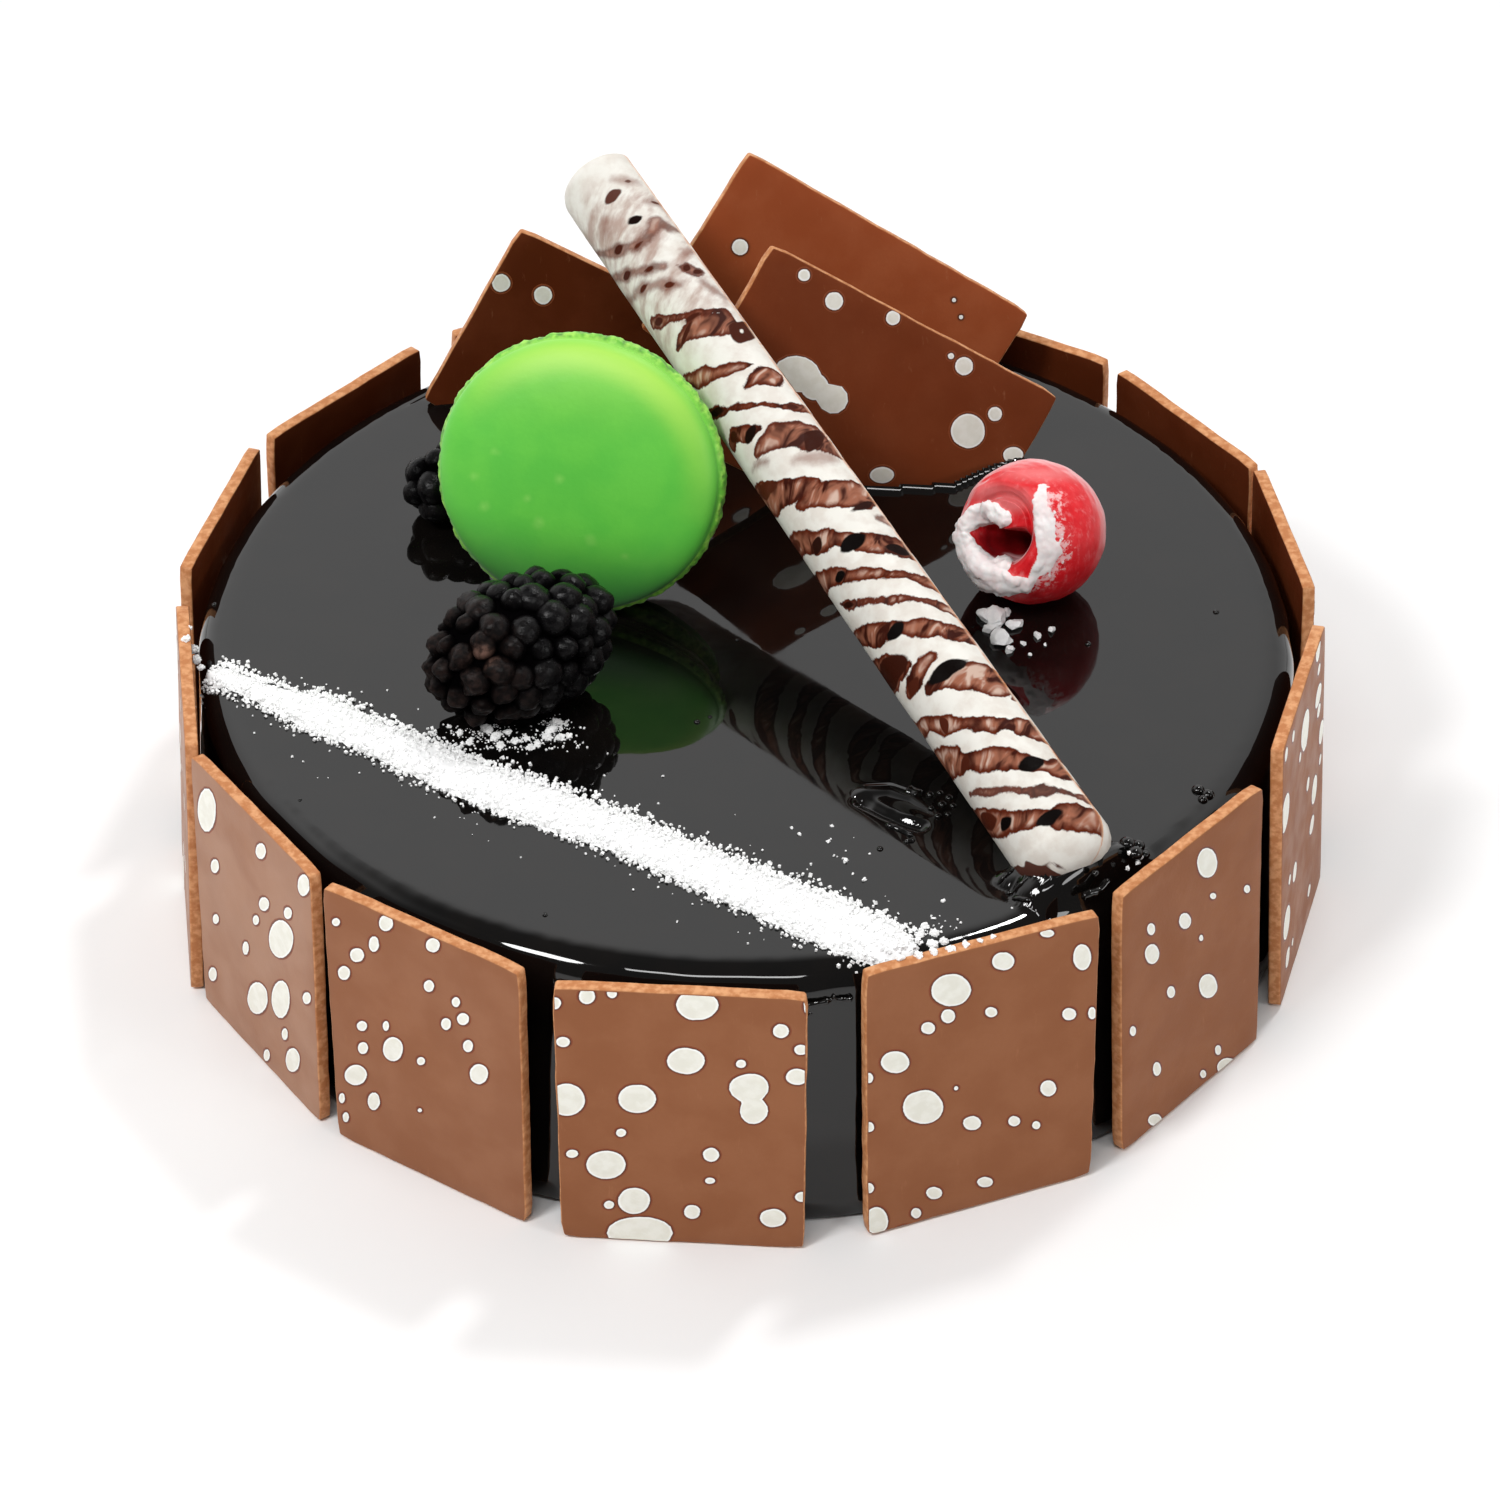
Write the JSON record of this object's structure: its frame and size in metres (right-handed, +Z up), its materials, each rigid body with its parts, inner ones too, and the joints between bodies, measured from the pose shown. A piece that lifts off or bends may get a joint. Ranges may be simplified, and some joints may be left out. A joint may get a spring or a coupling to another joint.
{
  "type": "decorated chocolate cake",
  "caption": "Round chocolate cake under a dark mirror glaze, ringed with milk chocolate panels and topped with a green macaron, berries, a marbled chocolate roll and a band of sugar.",
  "frame": {"origin": "middle of the cake's flat base, on the surface that it rests on", "axes": "+Z up; the front of the cake faces -Y; +X is to the right of someone who faces the front"},
  "size_m": [0.1816, 0.1824, 0.0934],
  "materials": {
    "dark_glaze": "mirror glaze, near black",
    "milk_chocolate": "satin milk chocolate with cream spots",
    "marbled_chocolate": "satin white chocolate with brown bands",
    "green_shell": "smooth matte baked shell",
    "pale_filling": "soft cream",
    "dark_berry_skin": "near black fruit skin with a soft sheen",
    "red_berry_skin": "red fruit skin, partly frosted with sugar"
  },
  "bodies": {
    "root": {"cake": "dark_glaze", "side_panel_01": "milk_chocolate", "side_panel_02": "milk_chocolate", "side_panel_03": "milk_chocolate", "side_panel_04": "milk_chocolate", "side_panel_05": "milk_chocolate", "side_panel_06": "milk_chocolate", "side_panel_07": "milk_chocolate", "side_panel_08": "milk_chocolate", "side_panel_09": "milk_chocolate", "side_panel_10": "milk_chocolate", "side_panel_11": "milk_chocolate", "side_panel_12": "milk_chocolate", "side_panel_13": "milk_chocolate", "side_panel_14": "milk_chocolate", "top_panel_left": "milk_chocolate", "top_panel_back": "milk_chocolate", "top_panel_front": "milk_chocolate", "chocolate_roll": "marbled_chocolate", "macaron_shell_front": "green_shell", "macaron_filling": "pale_filling", "macaron_shell_back": "green_shell", "dark_berry_front": "dark_berry_skin", "dark_berry_left": "dark_berry_skin", "red_berry": "red_berry_skin"}
  },
  "joints": []
}
